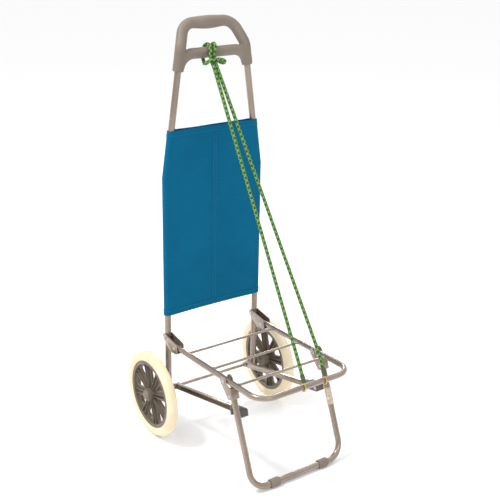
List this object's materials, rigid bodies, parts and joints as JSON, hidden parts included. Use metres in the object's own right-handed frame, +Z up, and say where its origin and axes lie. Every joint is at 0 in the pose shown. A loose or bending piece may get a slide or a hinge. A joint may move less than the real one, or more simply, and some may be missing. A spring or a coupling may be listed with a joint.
{
  "type": "folding beach cart",
  "caption": "Folding tube-frame beach cart on two spoked wheels, with a slatted deck, prop leg, side braces, fabric back panel, moulded handle and a hooked elastic cord.",
  "frame": {"origin": "on the floor, below the middle of the frame, half way between the deck's front bar and the back of the tyres", "axes": "+Z up, the deck points towards -Y, +X runs along the axle"},
  "size_m": [0.3864, 0.4947, 0.9904],
  "materials": {
    "blue_cloth": "woven teal blue polyester",
    "brass_wire": "bright yellow plated wire",
    "bright_steel": "zinc plated",
    "cream_label": "blank paper label",
    "cream_tyre": "plain cream tread",
    "crimp_metal": "dark green crimp sleeve",
    "green_cord": "braided green elastic cord with light flecks",
    "grey_plastic": "matte dark grey moulding",
    "taupe_paint": "satin taupe paint on steel",
    "taupe_plastic": "matte taupe moulding"
  },
  "bodies": {
    "frame": {"axle_rod": "bright_steel", "bungee_hitch": "green_cord", "fabric_panel": "blue_cloth", "handle": "taupe_plastic", "left_axle_cap": "taupe_plastic", "left_brace_spacer": "taupe_plastic", "left_brace_washer": "bright_steel", "left_handle_screw": "bright_steel", "left_hinge_pin": "bright_steel", "left_strand": "green_cord", "left_tube_plug": "taupe_plastic", "left_upright": "taupe_paint", "left_wheel_spacer": "taupe_plastic", "right_axle_cap": "taupe_plastic", "right_brace_spacer": "taupe_plastic", "right_brace_washer": "bright_steel", "right_handle_screw": "bright_steel", "right_hinge_pin": "bright_steel", "right_strand": "green_cord", "right_tube_plug": "taupe_plastic", "right_upright": "taupe_paint", "right_wheel_spacer": "taupe_plastic"},
    "deck": {"deck_loop": "taupe_paint", "rear_rung": "taupe_paint", "middle_rung": "taupe_paint", "front_rung": "taupe_paint", "left_hinge_bracket": "taupe_paint", "right_hinge_bracket": "taupe_paint", "left_rail_rivet": "bright_steel", "right_rail_rivet": "bright_steel", "left_leg_pin": "bright_steel", "right_leg_pin": "bright_steel"},
    "leg": {"leg_loop": "taupe_paint", "left_leg_knuckle": "taupe_paint", "right_leg_knuckle": "taupe_paint", "left_leg_rivet": "bright_steel", "right_leg_rivet": "bright_steel", "left_foot_sleeve": "taupe_plastic", "right_foot_sleeve": "taupe_plastic", "blank_label": "cream_label"},
    "left_brace": {"left_brace_bar": "taupe_paint", "left_brace_clip": "grey_plastic", "left_brace_pin": "bright_steel"},
    "right_brace": {"right_brace_bar": "taupe_paint", "right_brace_clip": "grey_plastic", "right_brace_pin": "bright_steel"},
    "left_wheel": {"left_tyre": "cream_tyre", "left_wheel_hub": "taupe_plastic"},
    "right_wheel": {"right_tyre": "cream_tyre", "right_wheel_hub": "taupe_plastic"},
    "left_hook_end": {"left_hook": "brass_wire", "left_ferrule": "crimp_metal"},
    "right_hook_end": {"right_hook": "brass_wire", "right_ferrule": "crimp_metal"}
  },
  "joints": [
    {"name": "deck_fold", "type": "hinge", "parent": "frame", "child": "deck", "pos_m": [0, 0.13717, 0.2455], "axis": [-1, 0, 0], "range_deg": [0, 85], "deforming": ["left_strand", "right_strand"]},
    {"name": "leg_fold", "type": "hinge", "parent": "deck", "child": "leg", "pos_m": [0, -0.11307, 0.2355], "axis": [1, 0, 0], "range_deg": [0, 98.53]},
    {"name": "left_brace_fold", "type": "hinge", "parent": "frame", "child": "left_brace", "pos_m": [-0.103, 0.14033, 0.105], "axis": [-1, 0, 0], "range_deg": [0, 67.63]},
    {"name": "right_brace_fold", "type": "hinge", "parent": "frame", "child": "right_brace", "pos_m": [0.103, 0.14033, 0.105], "axis": [-1, 0, 0], "range_deg": [0, 67.63]},
    {"name": "left_hook_swing", "type": "hinge", "parent": "deck", "child": "left_hook_end", "pos_m": [-0.012, -0.23905, 0.23792], "axis": [1, 0, 0], "range_deg": [0, 113.34]},
    {"name": "right_hook_swing", "type": "hinge", "parent": "deck", "child": "right_hook_end", "pos_m": [0.046, -0.23905, 0.23792], "axis": [1, 0, 0], "range_deg": [0, 113.34]},
    {"name": "left_wheel_spin", "type": "hinge", "parent": "frame", "child": "left_wheel", "pos_m": [-0.171, 0.14033, 0.105], "axis": [1, 0, 0], "continuous": true},
    {"name": "right_wheel_spin", "type": "hinge", "parent": "frame", "child": "right_wheel", "pos_m": [0.171, 0.14033, 0.105], "axis": [1, 0, 0], "continuous": true}
  ],
  "couplings": [
    {"joint": "leg_fold", "follows": "deck_fold", "ratio": 1.159},
    {"joint": "left_brace_fold", "follows": "deck_fold", "ratio": 0.7955},
    {"joint": "right_brace_fold", "follows": "deck_fold", "ratio": 0.7955},
    {"joint": "left_hook_swing", "follows": "deck_fold", "ratio": 1.3332},
    {"joint": "right_hook_swing", "follows": "deck_fold", "ratio": 1.3332}
  ]
}
